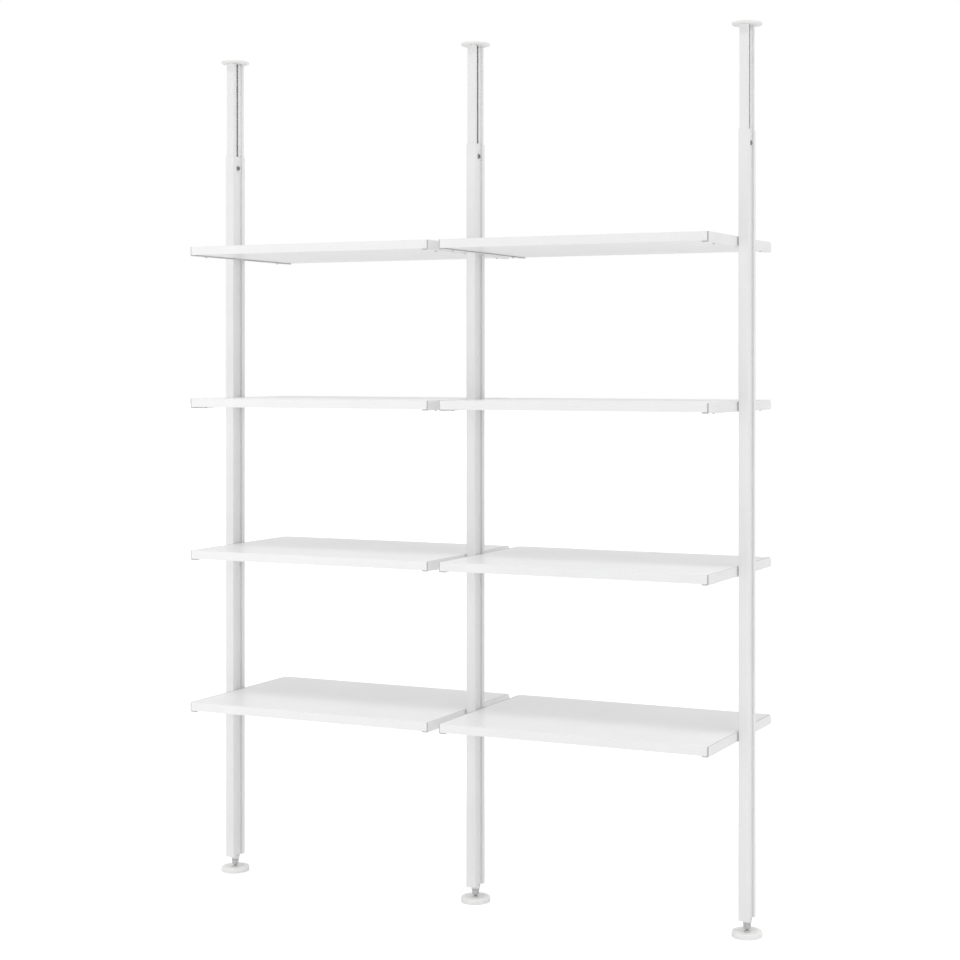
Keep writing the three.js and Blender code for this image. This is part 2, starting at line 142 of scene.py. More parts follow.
# Lock screw
LOCK_HEAD_RADIUS = 6.8
LOCK_HEAD_HEIGHT = 4.2
LOCK_HEAD_BREAK = 1.1
LOCK_HEAD_SEAT = 0.15  # bevel under the head: its width
LOCK_HEAD_LIFT = 0.2  # and its height
LOCK_SHANK = 3.9
LOCK_SHANK_BREAK = 0.5
LOCK_SOCKET = 6.0  # across flats
LOCK_SOCKET_DEPTH = 2.8
LOCK_SOCKET_BREAK = 0.35
LOCK_SOCKET_POINT = 0.8  # the drill's cone at its bottom

# Bevels on the pieces that are copied from their CAD parts
PLUG_BREAK = 0.5
PLATE_BREAK = 0.25
BRACKET_BREAK = 0.2

# Angles between faces, in degrees
FLAT_ANGLE = 0.5  # within which faces are one
HARD_ANGLE = 50.0  # from which a bevel breaks the edge
SHARP_ANGLE = 35.0  # from which an edge is shaded sharp
NUT_SHARP_ANGLE = 25.0

# The camera stands where the photograph was taken. It looks level, and the picture is shifted on it.

IMAGE_WIDTH = 960.0
FOCAL_PIXELS = 1892.85
HORIZON_PIXEL = 365.47  # rows from the picture's top
CENTRE_PIXEL = 598.1  # columns from the picture's left edge to the lens axis
SENSOR_MM = 36.0
CAMERA_PLACE = (2546.3, -4884.3, 1554.9)
CAMERA_TURN = 23.83  # degrees from straight on, anticlockwise seen from above
FAR_CLIP = 200  # metres

lens = bpy.data.cameras.new("camera")
lens.sensor_width = SENSOR_MM
lens.lens = FOCAL_PIXELS / IMAGE_WIDTH * SENSOR_MM
lens.shift_x = (IMAGE_WIDTH / 2 - CENTRE_PIXEL) / IMAGE_WIDTH
lens.shift_y = (HORIZON_PIXEL - IMAGE_WIDTH / 2) / IMAGE_WIDTH
lens.clip_end = FAR_CLIP
camera = bpy.data.objects.new("camera", lens)
camera.location = Vector(CAMERA_PLACE) * MM
camera.rotation_euler = (math.pi / 2, 0, math.radians(CAMERA_TURN))
bpy.context.scene.collection.objects.link(camera)
bpy.context.scene.camera = camera


# Materials

DRIFT_STOPS = (0.3, 0.7)  # of the slow noise, where the darker and the lighter colour begin
DRIFT_DETAIL = 4.0  # its octaves
GRAIN_SPAN = (0.25, 0.75)  # of the fine noise, for the lowest and highest roughness
GRAIN_DETAIL = 3.0


def put(tree, kind, values=None, links=None, **settings):
    """Adds a node with its settings, its socket values and the sockets that feed it."""
    node = tree.nodes.new(kind)
    for name, value in settings.items():
        setattr(node, name, value)
    for name, value in (values or {}).items():
        node.inputs[name].default_value = value
    for name, source in (links or {}).items():
        tree.links.new(source, node.inputs[name])
    return node


def linear(hex_colour):
    """An sRGB hex colour as the linear RGBA that shaders take."""
    channels = [int(hex_colour[i:i + 2], 16) / 255 for i in (1, 3, 5)]
    return [c / 12.92 if c <= 0.04045 else ((c + 0.055) / 1.055) ** 2.4 for c in channels] + [1.0]


def surface(name, light, dark, patch_mm, rough, grain_mm, relief_mm, **shader):
    """A material that drifts slowly between two colours, with a fine grain in its relief and gloss.

    patch_mm and grain_mm are the sizes of the drift and of the grain. rough is the lowest and the
    highest roughness. shader holds values for the shader's own sockets."""
    material = bpy.data.materials.new(name)
    material.use_nodes = True
    tree = material.node_tree
    tree.nodes.clear()
    place = put(tree, "ShaderNodeTexCoord").outputs["Object"]
    drift = put(tree, "ShaderNodeTexNoise", {"Scale": 1 / (patch_mm * MM), "Detail": DRIFT_DETAIL},
                {"Vector": place})
    ramp = put(tree, "ShaderNodeValToRGB", links={"Fac": drift.outputs["Fac"]})
    for stop, position, colour in zip(ramp.color_ramp.elements, DRIFT_STOPS, (dark, light)):
        stop.position = position
        stop.color = linear(colour)
    grain = put(tree, "ShaderNodeTexNoise", {"Scale": 1 / (grain_mm * MM), "Detail": GRAIN_DETAIL},
                {"Vector": place})
    gloss = put(tree, "ShaderNodeMapRange",
                {"From Min": GRAIN_SPAN[0], "From Max": GRAIN_SPAN[1],
                 "To Min": rough[0], "To Max": rough[1]},
                {"Value": grain.outputs["Fac"]})
    relief = put(tree, "ShaderNodeBump", {"Distance": relief_mm * MM}, {"Height": grain.outputs["Fac"]})
    skin = put(tree, "ShaderNodeBsdfPrincipled",
               {"IOR" if name == "ior" else name.title(): value for name, value in shader.items()},
               {"Base Color": ramp.outputs["Color"], "Roughness": gloss.outputs["Result"],
                "Normal": relief.outputs["Normal"]})
    put(tree, "ShaderNodeOutputMaterial", links={"Surface": skin.outputs["BSDF"]})
    return material


# Polyester powder coat, sprayed on and baked: an even white with a soft sheen and faint orange peel.
# The peel is about 1 mm across, and drawn wider so that it shows.
post_coat = surface("white powder coat on aluminium", "#F1F1F1", "#ECECEC", patch_mm=180,
                    rough=(0.34, 0.42), grain_mm=2.5, relief_mm=0.003, ior=1.5)

# The same coat on bent steel sheet, a little smoother.
bracket_coat = surface("white powder coat on steel", "#F2F2F2", "#EDEDED", patch_mm=120,
                       rough=(0.32, 0.4), grain_mm=2.5, relief_mm=0.005, ior=1.5)

# The sheet is cut after it is coated, so that its edges are bare grey steel. Their grey is set dark enough
# to paint the shade in the narrow gap between board and bracket wall, and on the bracket's set-back front
# end under the board's edge.
cut_edge_painted_shade = surface("bare cut edge of the steel, painted grey for gap shade", "#C8C8C8", "#BFBFBF", patch_mm=20,
                   rough=(0.45, 0.6), grain_mm=0.8, relief_mm=0.006, ior=1.5)

# Melamine paper pressed on particle board: smooth and silky, with a face that is barely uneven.
board_face = surface("white melamine face", "#F3F3F3", "#EFEFEF", patch_mm=260,
                     rough=(0.28, 0.36), grain_mm=5, relief_mm=0.004, ior=1.3)

# ABS edge band, 1 mm, trimmed and buffed: a cleaner and brighter white than the face.
board_band = surface("white ABS edge band", "#F5F5F5", "#F2F2F2", patch_mm=90,
                     rough=(0.26, 0.3), grain_mm=3, relief_mm=0.002, ior=1.53)

# ABS moulded in a lightly eroded tool: even white with a fine matte grain.
pad_plastic = surface("white moulded ABS", "#F2F2F1", "#ECECEB", patch_mm=25,
                      rough=(0.42, 0.56), grain_mm=0.9, relief_mm=0.006, ior=1.53)

# Glass-filled polyamide, moulded: pale grey and dull.
plug_plastic = surface("pale grey moulded polyamide", "#E8E8E7", "#E0E0DF", patch_mm=20,
                       rough=(0.5, 0.65), grain_mm=0.9, relief_mm=0.01, ior=1.53)

# Turned or pressed steel with bright zinc plating: grey with a cool, slightly cloudy sheen.
zinc = surface("zinc plated steel", "#CDCED0", "#B7B9BB", patch_mm=6,
               rough=(0.3, 0.45), grain_mm=0.6, relief_mm=0.008, metallic=1.0)

# The lock screw's zinc is set a darker grey than that of the other plated pieces.
screw_zinc = surface("darker zinc of the lock screw", "#A2A4A6", "#8C8E91", patch_mm=3,
                     rough=(0.3, 0.45), grain_mm=0.6, relief_mm=0.008, metallic=1.0)

# Unfilled nylon in its natural colour, moulded: a warm white with a low waxy sheen.
nylon = surface("natural moulded nylon", "#E2E2DE", "#DADAD6", patch_mm=8,
                rough=(0.4, 0.55), grain_mm=0.7, relief_mm=0.006, ior=1.53)


# Meshes

def piece(mesh_or_bm, name, materials, body, slot, *nodes, sharp=SHARP_ANGLE):
    """Makes a finished object of a mesh that is already in place, with its body and CAD nodes. Its slot is
    not used.
    """
    mesh = mesh_or_bm
    if isinstance(mesh_or_bm, bmesh.types.BMesh):
        mesh = bpy.data.meshes.new(name)
        mesh_or_bm.to_mesh(mesh)
        mesh_or_bm.free()
    if not mesh.materials:
        for material in materials:
            mesh.materials.append(material)
    mesh.shade_smooth()
    mesh.set_sharp_from_angle(angle=math.radians(sharp))
    # The large faces set the shading, so that they stay flat up to their rounded edges.
    mesh = evaluated(mesh, "WEIGHTED_NORMAL", mode="FACE_AREA", weight=100, keep_sharp=True)
    mesh.name = name
    made = bpy.data.objects.new(name, mesh)
    bpy.context.scene.collection.objects.link(made)
    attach(made, body)
    if nodes:
        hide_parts(*nodes)
    return made


def closed(bm):
    """Merges doubled points, drops faces without area and turns all faces outwards."""
    bmesh.ops.remove_doubles(bm, verts=bm.verts, dist=MERGE)
    bmesh.ops.dissolve_degenerate(bm, edges=bm.edges, dist=MERGE)
    bmesh.ops.recalc_face_normals(bm, faces=bm.faces)
    return bm


def loops(rings, through=False):
    """Skins a row of rings, each a list of points in millimetres. A ring of one point is a pole.

    through joins the last ring to the first, for a piece with a bore."""
    bm = bmesh.new()
    rows = [[bm.verts.new(Vector(p) * MM) for p in ring] for ring in rings]
    pairs = list(zip(rows, rows[1:]))
    if through:
        pairs.append((rows[-1], rows[0]))
    for low, high in pairs:
        count = max(len(low), len(high))
        for i in range(count):
            j = (i + 1) % count
            corners = [low[i % len(low)], low[j % len(low)], high[j % len(high)], high[i % len(high)]]
            corners = [v for k, v in enumerate(corners) if v not in corners[:k]]
            if len(corners) > 2:
                bm.faces.new(corners)
    if not through:
        for row in (rows[0], rows[-1]):
            if len(row) > 2:
                bm.faces.new(row)
    return closed(bm)


def turned(profile, sides=96, through=False):
    """A profile of (radius, height) turned about Z. Either may be a function of the angle."""
    angles = [2 * math.pi * k / sides for k in range(sides)]
    rings = []
    for radius, height in profile:
        if radius == 0:
            rings.append([(0, 0, height)])
            continue
        ring = []
        for a in angles:
            r = radius(a) if callable(radius) else radius
            ring.append((r * math.cos(a), r * math.sin(a), height(a) if callable(height) else height))
        rings.append(ring)
    return loops(rings, through)


def arc(cx, cy, radius, start, end, steps=6):
    """Points of an arc, from one angle to another in degrees."""
    angles = [math.radians(start + (end - start) * k / steps) for k in range(steps + 1)]
    return [(cx + radius * math.cos(a), cy + radius * math.sin(a)) for a in angles]


def hexagon(across_flats):
    """The radius of a hexagon as a function of the angle, with a corner at angle 0."""
    return lambda angle: across_flats / 2 / math.cos(angle % (math.pi / 3) - math.pi / 6)


def rounded(corners, steps=5):
    """A closed outline from corners (x, y, radius)."""
    points = []
    for k, (x, y, radius) in enumerate(corners):
        here = Vector((x, y))
        before = (Vector(corners[k - 1][:2]) - here).normalized()
        after = (Vector(corners[(k + 1) % len(corners)][:2]) - here).normalized()
        half = before.angle(after) / 2
        reach = radius / math.tan(half)
        centre = here + (before + after).normalized() * (radius / math.sin(half))
        first = here + before * reach - centre
        last = here + after * reach - centre
        turn = first.angle_signed(last)
        points += [centre + Matrix.Rotation(-turn * i / steps, 2) @ first for i in range(steps + 1)]
    return points


def four_fold(quarter):
    """Carries an outline's quarter at +X +Y, from the X axis to the Y axis, round to all four."""
    back = quarter[::-1]
    return (quarter + [(-x, y, r) for x, y, r in back] + [(-x, -y, r) for x, y, r in quarter]
            + [(x, -y, r) for x, y, r in back])


def evaluated(seed, kind, **settings):
    """A plain mesh of what one modifier makes of a mesh. A Geometry Nodes tree takes its inputs by name."""
    carrier = bpy.data.objects.new("carrier", seed)
    bpy.context.scene.collection.objects.link(carrier)
    modifier = carrier.modifiers.new("maker", kind)
    inputs = settings.pop("inputs", {})
    for name, value in settings.items():
        setattr(modifier, name, value)
    if inputs:
        for item in modifier.node_group.interface.items_tree:
            if item.in_out == "INPUT" and item.name in inputs:
                modifier[item.identifier] = inputs[item.name]
    graph = bpy.context.evaluated_depsgraph_get()
    mesh = bpy.data.meshes.new_from_object(carrier.evaluated_get(graph))
    carrier.modifiers.clear()
    bpy.data.objects.remove(carrier)
    return mesh


def new_tree(name, sockets):
    """An empty tree with a geometry in and out, and the named sizes it takes."""
    tree = bpy.data.node_groups.new(name, "GeometryNodeTree")
    tree.interface.new_socket(name="Geometry", in_out="INPUT", socket_type="NodeSocketGeometry")
    tree.interface.new_socket(name="Geometry", in_out="OUTPUT", socket_type="NodeSocketGeometry")
    for label, kind in sockets.items():
        tree.interface.new_socket(name=label, in_out="INPUT", socket_type=kind)
    return tree, put(tree, "NodeGroupInput").outputs


def end_tree(tree, given, geometry):
    """Ends a tree: its geometry is set at Place, made real and given its Material."""
    placed = put(tree, "GeometryNodeTransform", links={"Geometry": geometry, "Translation": given["Place"]})
    real = put(tree, "GeometryNodeRealizeInstances", links={"Geometry": placed.outputs["Geometry"]})
    coated = put(tree, "GeometryNodeSetMaterial",
                 links={"Geometry": real.outputs["Geometry"], "Material": given["Material"]})
    put(tree, "NodeGroupOutput", links={"Geometry": coated.outputs["Geometry"]})
    return tree


def extrusion_tree():
    """Fills the loops it is given and raises them to Length."""
    tree, given = new_tree("extrusion", {
        "Length": "NodeSocketFloat", "Place": "NodeSocketVector", "Material": "NodeSocketMaterial"})
    curves = put(tree, "GeometryNodeMeshToCurve", links={"Mesh": given["Geometry"]})
    end = put(tree, "GeometryNodeFillCurve", links={"Curve": curves.outputs["Curve"]})
    body = put(tree, "GeometryNodeExtrudeMesh", {"Offset": (0, 0, 1), "Individual": False},
               {"Mesh": end.outputs["Mesh"], "Offset Scale": given["Length"]})
    other_end = put(tree, "GeometryNodeFlipFaces", links={"Mesh": end.outputs["Mesh"]})
    both = put(tree, "GeometryNodeJoinGeometry", links={"Geometry": body.outputs["Mesh"]})
    tree.links.new(other_end.outputs["Mesh"], both.inputs["Geometry"])
    whole = put(tree, "GeometryNodeMergeByDistance", {"Distance": MERGE},
                {"Geometry": both.outputs["Geometry"]})
    return end_tree(tree, given, whole.outputs["Geometry"])


def screw_tree():
    """Sets copies of the screw it is given at the corners of a rectangle."""
    tree, given = new_tree("board screws", {
        "Across": "NodeSocketFloat", "Along": "NodeSocketFloat",
        "Place": "NodeSocketVector", "Material": "NodeSocketMaterial"})
    corners = put(tree, "GeometryNodeMeshGrid", {"Vertices X": 2, "Vertices Y": 2},
                  {"Size X": given["Across"], "Size Y": given["Along"]})
    screws = put(tree, "GeometryNodeInstanceOnPoints",
                 links={"Points": corners.outputs["Mesh"], "Instance": given["Geometry"]})
    return end_tree(tree, given, screws.outputs["Instances"])


extrusion = extrusion_tree()
board_screws = screw_tree()


def extruded(outlines, length, place, material):
    """An extrusion of closed outlines in millimetres, those inside another being hollows."""
    seed = bpy.data.meshes.new("section")
    points = []
    edges = []
    for outline in outlines:
        first = len(points)
        points += [(p[0] * MM, p[1] * MM, 0) for p in outline]
        edges += [(first + k, first + (k + 1) % len(outline)) for k in range(len(outline))]
    seed.from_pydata(points, edges, [])
    mesh = evaluated(seed, "NODES", node_group=extrusion,
                     inputs={"Length": length, "Place": place, "Material": material})
    bm = bmesh.new()
    bm.from_mesh(mesh)
    closed(bm).to_mesh(mesh)
    bm.free()
    return mesh


def moved(mesh_or_bm, x, y, z):
    """Sets a mesh in its place, in metres."""
    shift = Matrix.Translation((x, y, z))
    if isinstance(mesh_or_bm, bmesh.types.BMesh):
        bmesh.ops.transform(mesh_or_bm, matrix=shift, verts=mesh_or_bm.verts)
    else:
        mesh_or_bm.transform(shift)
    return mesh_or_bm


def along_x(bm):
    """Lays a turned piece down, so that its axis points to +X."""
    bmesh.ops.rotate(bm, matrix=Matrix.Rotation(math.pi / 2, 3, "Y"), verts=bm.verts)
    return bm


def drilled(mesh, radius, low, high):
    """A mesh with a hole along X, between two corners in metres."""
    length = (high.x - low.x) / MM
    drill = along_x(turned([(0, 0), (radius, 0), (radius, length), (0, length)], sides=48))
    moved(drill, low.x, (low.y + high.y) / 2, (low.z + high.z) / 2)
    tool_mesh = bpy.data.meshes.new("drill")
    drill.to_mesh(tool_mesh)
    drill.free()
    tool = bpy.data.objects.new("drill", tool_mesh)
    bpy.context.scene.collection.objects.link(tool)
    cut = evaluated(mesh, "BOOLEAN", object=tool, operation="DIFFERENCE", solver="EXACT")
    bpy.data.objects.remove(tool)
    return cut


def eased(node, width):
    """A copy of a CAD part whose hard edges are broken by a small bevel, width in millimetres."""
    bm = bmesh.new()
    bm.from_mesh(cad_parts[node].data)
    bmesh.ops.remove_doubles(bm, verts=bm.verts, dist=MERGE)
    bmesh.ops.dissolve_limit(bm, angle_limit=math.radians(FLAT_ANGLE), verts=bm.verts, edges=bm.edges)
    hard = [e for e in bm.edges
            if len(e.link_faces) == 2 and e.calc_face_angle() > math.radians(HARD_ANGLE)]
    bmesh.ops.bevel(bm, geom=hard, offset=width * MM, segments=2, profile=0.5, affect="EDGES",
                    clamp_overlap=True)
    bm.normal_update()
    return bm


# Posts

half_width = POST_WIDTH / 2
half_depth = POST_DEPTH / 2
cavity_x = half_width - POST_SIDE_WALL
cavity_y = half_depth - POST_FACE_WALL
slot_floor = cavity_x - SLOT_UNDERCUT
waist_x = slot_floor - SLOT_WALL
waist_y = SLOT_WIDTH / 2 + SLOT_WALL
lobe_x = cavity_x - SLIDE_GAP
lobe_near = waist_y + SLIDE_GAP
lobe_far = cavity_y - SLIDE_GAP
lip_x = waist_x - SLIDE_GAP

lower_section = [
    rounded(four_fold([
        (slot_floor, SLOT_WIDTH / 2, LIP_EDGE),
        (cavity_x, SLOT_WIDTH / 2, LIP_EDGE),
        (cavity_x, SLOT_OPENING / 2, LIP_EDGE),
        (half_width, SLOT_OPENING / 2, LIP_EDGE),
        (half_width, half_depth, POST_CORNER)])),
    rounded(four_fold([
        (waist_x, waist_y, LIP_EDGE),
        (cavity_x, waist_y, LIP_EDGE),
        (cavity_x, cavity_y, CAVITY_CORNER)]))]


def lobe_hollow(side, gap):
    """The hollow of one of the upper post's lobes, drawn in by a gap.

    side is -1 in front and 1 at the back."""
    x = lobe_x - UPPER_WALL - gap
    near = side * (lobe_near + UPPER_WALL + gap)
    far = side * (lobe_far - UPPER_WALL - gap)
    return rounded([(x, near, UPPER_EDGE), (x, far, UPPER_INNER_CORNER),
                    (-x, far, UPPER_INNER_CORNER), (-x, near, UPPER_EDGE)])


upper_section = [
    rounded(four_fold([
        (UPPER_WEB / 2, lobe_near, UPPER_EDGE),
        (lip_x - UPPER_WALL, lobe_near, UPPER_EDGE),
        (lip_x - UPPER_WALL, CHANNEL_OPENING / 2, UPPER_EDGE),
        (lip_x, CHANNEL_OPENING / 2, UPPER_EDGE),
        (lip_x, lobe_near, UPPER_EDGE),
        (lobe_x, lobe_near, UPPER_EDGE),
        (lobe_x, lobe_far, UPPER_CORNER)])),
    lobe_hollow(-1, 0),
    lobe_hollow(1, 0)]

for post in POSTS:
    for kind, section, body in (("lower_post", lower_section, "frame"),
                                ("upper_post", upper_section, f"mast_{post}")):
        node = f"{kind}_{post}"
        low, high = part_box(node)
        mesh = extruded(section, high.z - low.z, ((low.x + high.x) / 2, 0, low.z), post_coat)
        if kind == "lower_post":
            mesh = drilled(mesh, LOCK_SHANK + SLIDE_GAP, *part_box(f"lock_screw_{post}"))
        piece(mesh, f"{node}_coated", [], body, "post_white", node)


# Pads, feet and locks

ceiling_profile = (
    [(0, 0)]
    + arc(PAD_RADIUS - CEILING_PAD_RIM, CEILING_PAD_RIM, CEILING_PAD_RIM, -90, 0)
    + arc(PAD_RADIUS - CEILING_PAD_RIM, CEILING_PAD_THICKNESS - CEILING_PAD_RIM, CEILING_PAD_RIM, 0, 90)
    + [(0, CEILING_PAD_THICKNESS)])

seat_radius = BALL_RADIUS + CUP_WALL + 2 * SLIDE_GAP
dish_floor = FLOOR_PAD_HEIGHT - DISH_DEPTH
seat_angle = math.degrees(math.asin((dish_floor - SEAT_BREAK - BALL_CENTRE) / seat_radius))
floor_profile = (
    [(0, 0)]
    + arc(PAD_RADIUS - FLOOR_PAD_FOOT, FLOOR_PAD_FOOT, FLOOR_PAD_FOOT, -90, 0, steps=3)
    + arc(PAD_RADIUS - FLOOR_PAD_RIM, FLOOR_PAD_HEIGHT - FLOOR_PAD_RIM, FLOOR_PAD_RIM,
          0, CROWN_START, steps=8)
    + arc(DISH_RADIUS + DISH_SLOPE + DISH_EDGE, FLOOR_PAD_HEIGHT - DISH_EDGE, DISH_EDGE,
          CROWN_END, 90 + DISH_FALL, steps=4)
    + arc(DISH_RADIUS - DISH_INSET, dish_floor + DISH_EDGE, DISH_EDGE, DISH_FALL - 90, -90, steps=4)
    + [(seat_radius + SEAT_BREAK, dish_floor)]
    + arc(0, BALL_CENTRE, seat_radius, seat_angle, -90, steps=14)[:-1]
    + [(0, BALL_CENTRE - seat_radius)])

cup_inner = BALL_RADIUS + SLIDE_GAP
cup_outer = cup_inner + CUP_WALL
cup_lip = 90 - CUP_MOUTH
cup_profile = (
    [(0, BALL_CENTRE - cup_outer)]
    + arc(0, BALL_CENTRE, cup_outer, -90, cup_lip - CUP_LIP, steps=16)[1:]
    + arc(0, BALL_CENTRE, (cup_outer + cup_inner) / 2, cup_lip, cup_lip, steps=1)[:1]
    + arc(0, BALL_CENTRE, cup_inner, cup_lip - CUP_LIP, -90, steps=16)[:-1]
    + [(0, BALL_CENTRE - cup_inner)])


def foot_nut():
    """The hexagon with its chamfered lower corners, the cone above it and the collar."""
    hexagonal = hexagon(NUT_FLATS)
    face_radius = NUT_FLATS / 2 - NUT_CHAMFER
    cone_slope = NUT_CONE / (NUT_COLLAR_RADIUS - NUT_CONE_RADIUS)
    cone_top = NUT_HEX + NUT_CONE
    top = cone_top + NUT_COLLAR

    def chamfer_height(angle):
        return (hexagonal(angle) - face_radius) * math.tan(math.radians(NUT_CHAMFER_ANGLE))

    def shoulder(angle):
        return NUT_HEX + max(0, hexagonal(angle) - NUT_CONE_RADIUS) * cone_slope

    return turned([
        (NUT_BORE, NUT_BREAK),
        (NUT_BORE + NUT_BREAK, 0),
        (face_radius, 0),
        (hexagonal, chamfer_height),
        (hexagonal, shoulder),
        (lambda angle: max(hexagonal(angle), NUT_CONE_RADIUS), shoulder),
        (NUT_COLLAR_RADIUS - NUT_BREAK / 2, cone_top - NUT_BREAK / 2),
        (NUT_COLLAR_RADIUS, cone_top + NUT_BREAK / 2),
        (NUT_COLLAR_RADIUS, top - NUT_BREAK),
        (NUT_COLLAR_RADIUS - NUT_BREAK, top),
        (NUT_BORE + NUT_BREAK, top),
        (NUT_BORE, top - NUT_BREAK),
    ], sides=144, through=True)


def foot_rod(top):
    """The ball, its neck and the threaded rod, which has a flat along one side."""
    neck_angle = math.degrees(math.acos(NECK_RADIUS / BALL_RADIUS))
    profile = [(0, BALL_CENTRE - BALL_RADIUS)]
    profile += arc(0, BALL_CENTRE, BALL_RADIUS, -90, neck_angle, steps=16)[1:]
    profile += [(NECK_RADIUS, NECK_TOP), (ROD_RADIUS - THREAD_DEPTH, TAPER_TOP - THREAD_RUNOUT)]
    steps_a_turn = 10
    rows = int((top - TAPER_TOP - THREAD_END) / (ROD_PITCH / steps_a_turn))

    def threaded(height):
        """The rod's radius round its axis at a height: crests and roots, and the flat."""
        def radius(angle):
            phase = (height / ROD_PITCH - angle / (2 * math.pi)) % 1.0
            depth = THREAD_DEPTH * min(1.0, max(0.0, THREAD_ROOT - abs(phase - 0.5) * THREAD_FLANK))
            on_flat = math.cos(angle) > ROD_FLAT / ROD_RADIUS
            flat = ROD_FLAT / math.cos(angle) if on_flat else ROD_RADIUS
            return min(ROD_RADIUS - depth, flat)
        return radius

    for k in range(rows + 1):
        height = TAPER_TOP + k * ROD_PITCH / steps_a_turn
        profile.append((threaded(height), height))
    profile += [(ROD_RADIUS - THREAD_DEPTH - ROD_TIP, top), (0, top)]
    return turned(profile, sides=48)


def lock_screw(length):
    """A low round head with a hexagon socket, and its shank, standing on Z."""
    socket = hexagon(LOCK_SOCKET)
    base = length - LOCK_HEAD_HEIGHT
    return turned([
        (0, 0),
        (LOCK_SHANK - LOCK_SHANK_BREAK, 0),
        (LOCK_SHANK, LOCK_SHANK_BREAK),
        (LOCK_SHANK, base),
        (LOCK_HEAD_RADIUS - LOCK_HEAD_SEAT, base),
        (LOCK_HEAD_RADIUS, base + LOCK_HEAD_LIFT),
    ] + arc(LOCK_HEAD_RADIUS - LOCK_HEAD_BREAK, length - LOCK_HEAD_BREAK, LOCK_HEAD_BREAK, 0, 90) + [
        (lambda angle: socket(angle) + LOCK_SOCKET_BREAK, length),
        (socket, length - LOCK_SOCKET_BREAK),
        (socket, length - LOCK_SOCKET_DEPTH),
        (0, length - LOCK_SOCKET_DEPTH - LOCK_SOCKET_POINT),
    ], sides=72)


for post in POSTS:
    low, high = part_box(f"ceiling_pad_{post}")
    x = (low.x + high.x) / 2
    pad = moved(turned(ceiling_profile), x, 0, high.z - CEILING_PAD_THICKNESS * MM)
    piece(pad, f"ceiling_pad_{post}_moulded", [pad_plastic],
          f"mast_{post}", "pad_white", f"ceiling_pad_{post}")
    peg_top = high.z - (CEILING_PAD_THICKNESS - CEILING_PAD_RIM) * MM
    pegs = extruded([lobe_hollow(side, SLIDE_GAP) for side in (-1, 1)], peg_top - low.z, (x, 0, low.z),
                    pad_plastic)
    piece(pegs, f"ceiling_pad_{post}_pegs", [], f"mast_{post}", "pad_white", f"ceiling_pad_{post}")

    piece(moved(turned(floor_profile), x, 0, 0), f"floor_pad_{post}_moulded", [pad_plastic],
          f"pad_{post}", "pad_white", f"floor_pad_{post}")
    piece(moved(turned(cup_profile, sides=64), x, 0, 0), f"ball_cup_{post}_moulded", [nylon],
          f"cup_{post}", "white_nylon", f"ball_cup_{post}")
    rod_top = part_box(f"foot_rod_{post}")[1].z / MM
    piece(moved(foot_rod(rod_top), x, 0, 0), f"foot_rod_{post}_threaded", [zinc],
          f"rod_{post}", "zinc_steel", f"foot_rod_{post}")
    nut_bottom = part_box(f"foot_nut_{post}")[0].z
    piece(moved(foot_nut(), x, 0, nut_bottom), f"foot_nut_{post}_plated", [zinc],
          f"nut_{post}", "zinc_steel", f"foot_nut_{post}", sharp=NUT_SHARP_ANGLE)
    piece(eased(f"foot_plug_{post}", PLUG_BREAK), f"foot_plug_{post}_moulded", [plug_plastic],
          "frame", "plug_grey", f"foot_plug_{post}")

    piece(eased(f"lock_plate_{post}", PLATE_BREAK), f"lock_plate_{post}_plated", [zinc],
          "frame", "zinc_steel", f"lock_plate_{post}")
    low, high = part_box(f"lock_screw_{post}")
    screw = moved(along_x(lock_screw((high.x - low.x) / MM)), low.x, 0, (low.z + high.z) / 2)
    piece(screw, f"lock_screw_{post}_plated", [screw_zinc],
          f"lock_{post}", "zinc_steel", f"lock_screw_{post}")


# Shelves

def board(low, high):
    """The board with rounded long edges and a hairline where its edge band meets each face."""
    half_x = (high.x - low.x) / 2 / MM
    half_y = (high.y - low.y) / 2 / MM
    thickness = (high.z - low.z) / MM
    joint = [(BAND_THICKNESS + BAND_JOINT, 0), (BAND_THICKNESS + BAND_JOINT / 2, -BAND_JOINT),
             (BAND_THICKNESS, 0)]
    edge = [(BOARD_EDGE - y, x - BOARD_EDGE) for x, y in arc(0, 0, BOARD_EDGE, 0, 90, steps=4)]
    top = joint + edge
    rings = []
    for inset, height in top + [(inset, -thickness - height) for inset, height in reversed(top)]:
        corner = max(BOARD_CORNER - inset, BOARD_EDGE)
        x = half_x - inset
        y = half_y - inset
        ring = rounded([(x, -y, corner), (x, y, corner), (-x, y, corner), (-x, -y, corner)],
                       steps=3)
        rings.append([(p[0], p[1], height) for p in ring])
    return loops(rings)


def board_screw():
    """A pan head with a hexagon socket, hanging under the flange."""
    socket = hexagon(SCREW_SOCKET)
    return turned([
        (0, 0),
        (SCREW_HEAD_RADIUS, 0),
        (SCREW_HEAD_RADIUS, -SCREW_HEAD_RIM),
        (SCREW_HEAD_RADIUS - SCREW_HEAD_SLOPE, -SCREW_HEAD_HEIGHT + SCREW_HEAD_SLOPE),
        (SCREW_HEAD_CROWN, -SCREW_HEAD_HEIGHT),
        (lambda angle: socket(angle) + SCREW_SOCKET_BREAK, -SCREW_HEAD_HEIGHT),
        (socket, -SCREW_HEAD_HEIGHT + SCREW_SOCKET_BREAK),
        (socket, -SCREW_HEAD_HEIGHT + SCREW_SOCKET_DEPTH),
        (0, -SCREW_HEAD_HEIGHT + SCREW_SOCKET_DEPTH + SCREW_SOCKET_POINT),
    ], sides=24)


CUT_REACH = 0.3 * MM  # a cut edge lies this near the bracket's outside
FACING = 0.7  # a face that looks along an axis has at least this share of its normal
TILTED = 0.1  # and one that leans towards it at least this


